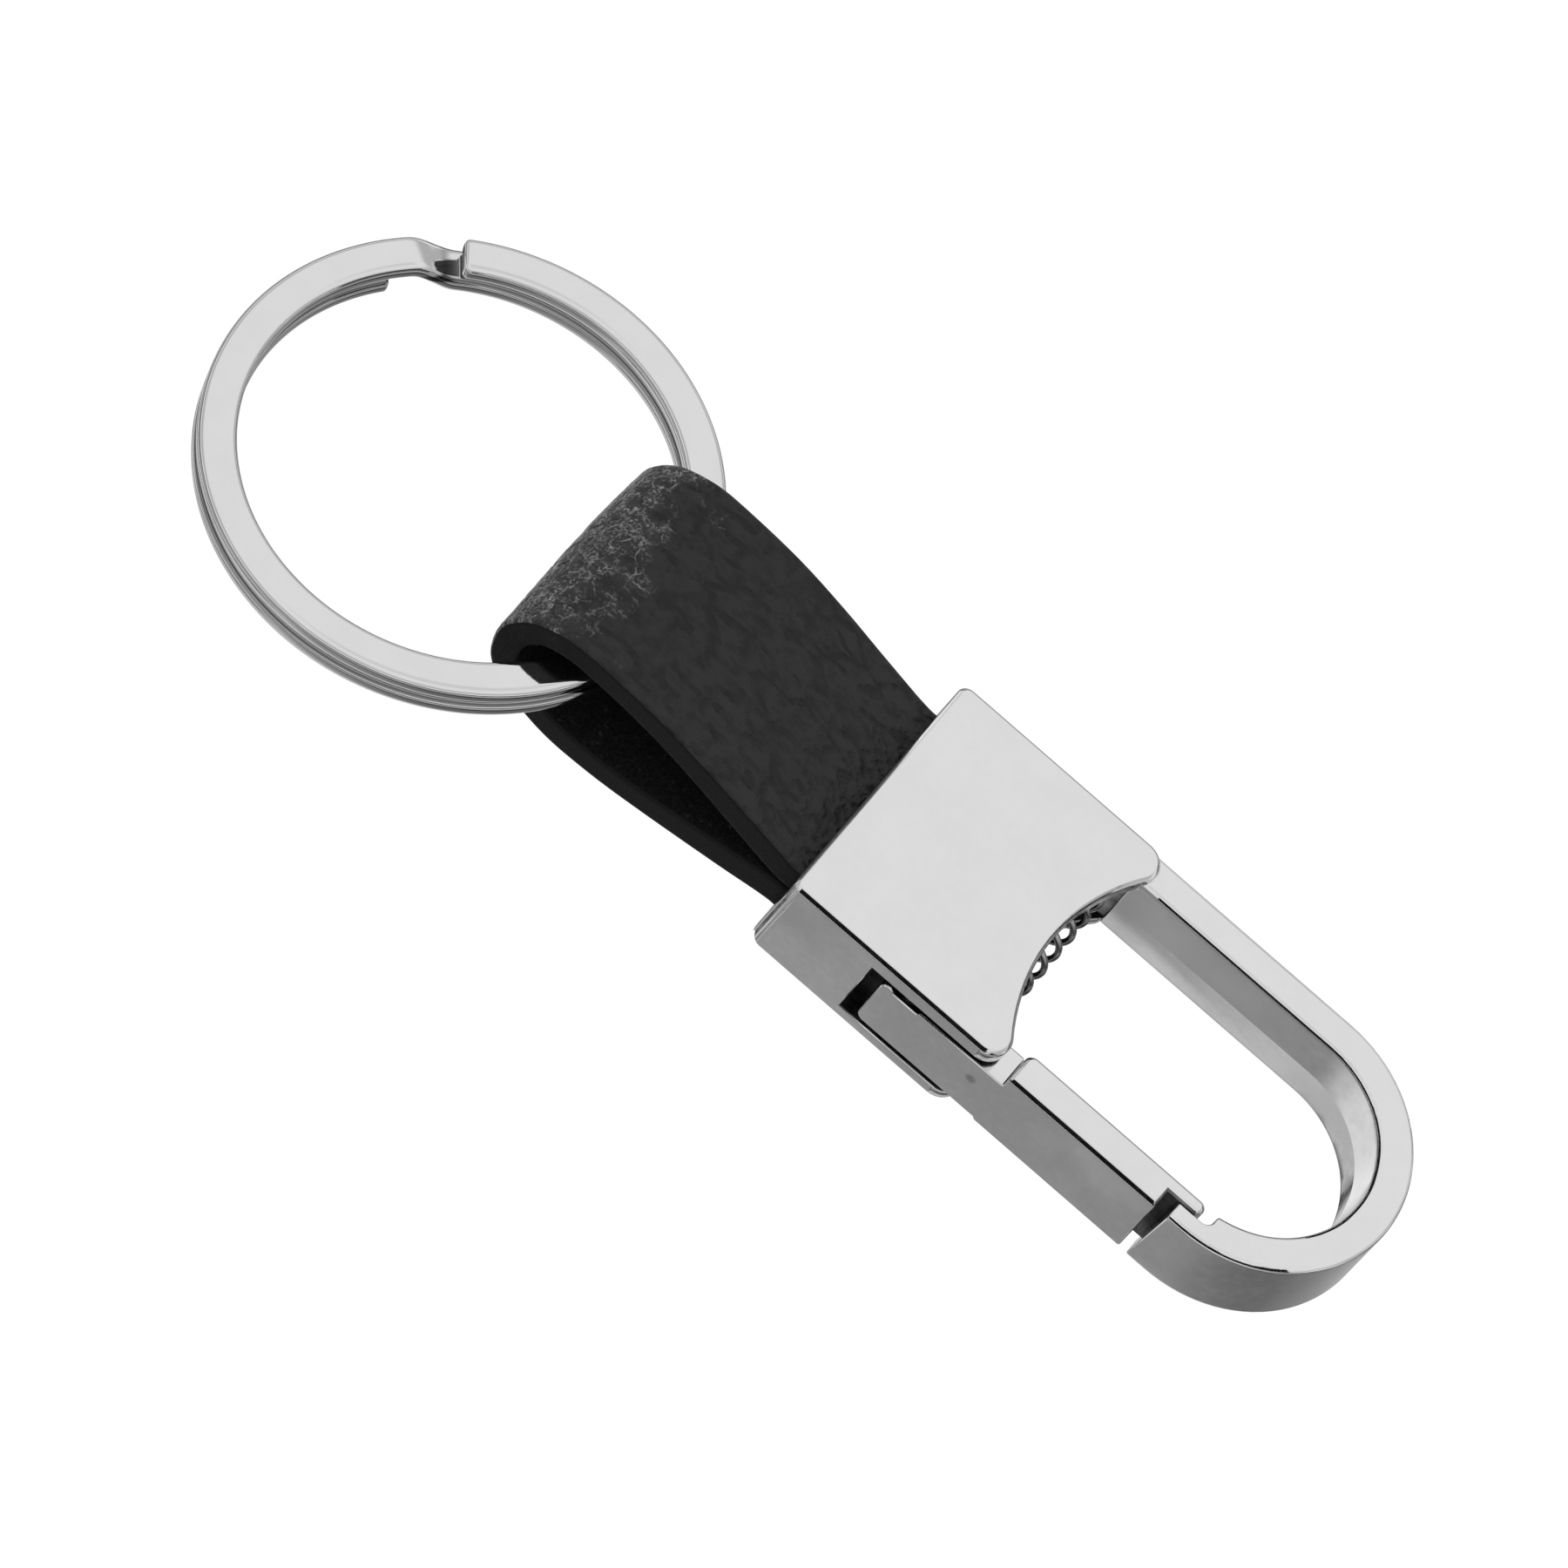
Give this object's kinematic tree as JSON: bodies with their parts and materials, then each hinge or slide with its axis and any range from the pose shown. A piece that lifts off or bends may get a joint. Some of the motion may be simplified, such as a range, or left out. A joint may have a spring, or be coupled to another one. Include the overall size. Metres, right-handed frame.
{
  "type": "carabiner keyring",
  "caption": "Keyring with a flat split ring in a folded leather strap, held in a plated metal clasp whose square-bar hook is closed by a sprung, inward-opening gate.",
  "frame": {"origin": "centre of the clasp housing's flat underside", "axes": "+X along the keyring towards the hook's bend, +Z out of the housing's plain front face, +Y towards the hook's fixed bar; the gate is on the -Y side"},
  "size_m": [0.0865, 0.032, 0.0111],
  "materials": {
    "ring_steel": "nickel plated, polished",
    "black_leather": "fine grain, semi-matt",
    "plated_casting": "nickel-chrome plated zinc casting, polished",
    "pin_steel": "ground",
    "spring_steel": "bright drawn wire"
  },
  "bodies": {
    "clasp": {"clasp_body": "plated_casting", "leather_strap": "black_leather", "gate_pivot_pin": "pin_steel", "gate_spring": "spring_steel", "strap_pin_near": "pin_steel", "strap_pin_far": "pin_steel"},
    "gate": {"gate_lever": "plated_casting"},
    "ring": {"split_ring": "ring_steel"}
  },
  "joints": [
    {"name": "gate_swing", "type": "hinge", "parent": "clasp", "child": "gate", "pos_m": [0.0016, -0.0081, 0.00382], "axis": [0, 0, 1], "range_deg": [0, 35], "stiffness_Nm_per_rad": 0.008, "springref_deg": -51.57, "deforming": ["gate_spring"]},
    {"name": "ring_swing", "type": "hinge", "parent": "clasp", "child": "ring", "pos_m": [-0.0252, 0, 0.00435], "axis": [0, 1, 0], "range_deg": [-90, 90]}
  ]
}
